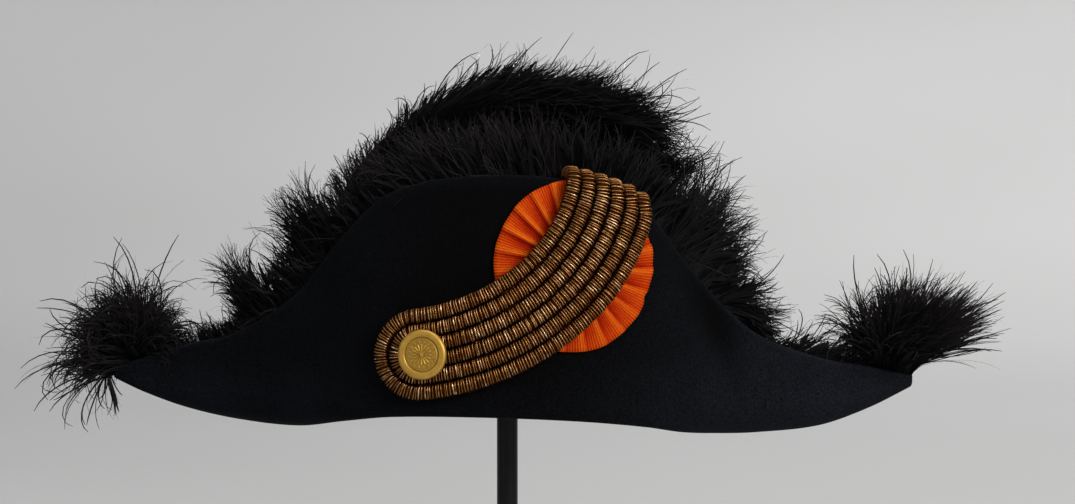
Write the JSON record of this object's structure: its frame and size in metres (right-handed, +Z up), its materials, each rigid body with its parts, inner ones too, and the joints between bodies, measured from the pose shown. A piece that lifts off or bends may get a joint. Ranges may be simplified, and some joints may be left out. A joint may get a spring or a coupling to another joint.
{
  "type": "bicorne hat on display stand",
  "caption": "Felt bicorne with upturned front and back flaps, ostrich trim and tufts, pleated cockade, bullion loops and a button, resting on a plain rod stand.",
  "frame": {"origin": "centre of the underside of the stand's round foot, on the surface that it stands on", "axes": "+Z up, +X from the left point of the brim to the right point, -Y the way the front flap faces"},
  "size_m": [0.514, 0.1838, 0.3482],
  "materials": {
    "felt": "matt napped felt",
    "feather": "soft barbs",
    "ribbon": "ribbed ribbon",
    "bullion": "coiled wire, darkened",
    "gilt": "matt gilt",
    "stand": "semi-gloss black"
  },
  "bodies": {
    "root": {"crown": "felt", "brim": "felt", "feather_trim_front": "feather", "feather_trim_back": "feather", "feather_tuft_left": "feather", "feather_tuft_right": "feather", "cockade": "ribbon", "bullion_loop_outer": "bullion", "bullion_loop_middle": "bullion", "bullion_strand_upper": "bullion", "bullion_strand_lower": "bullion", "button": "gilt", "stand_base": "stand", "stand_rod": "stand", "stand_rest": "stand"}
  },
  "joints": []
}
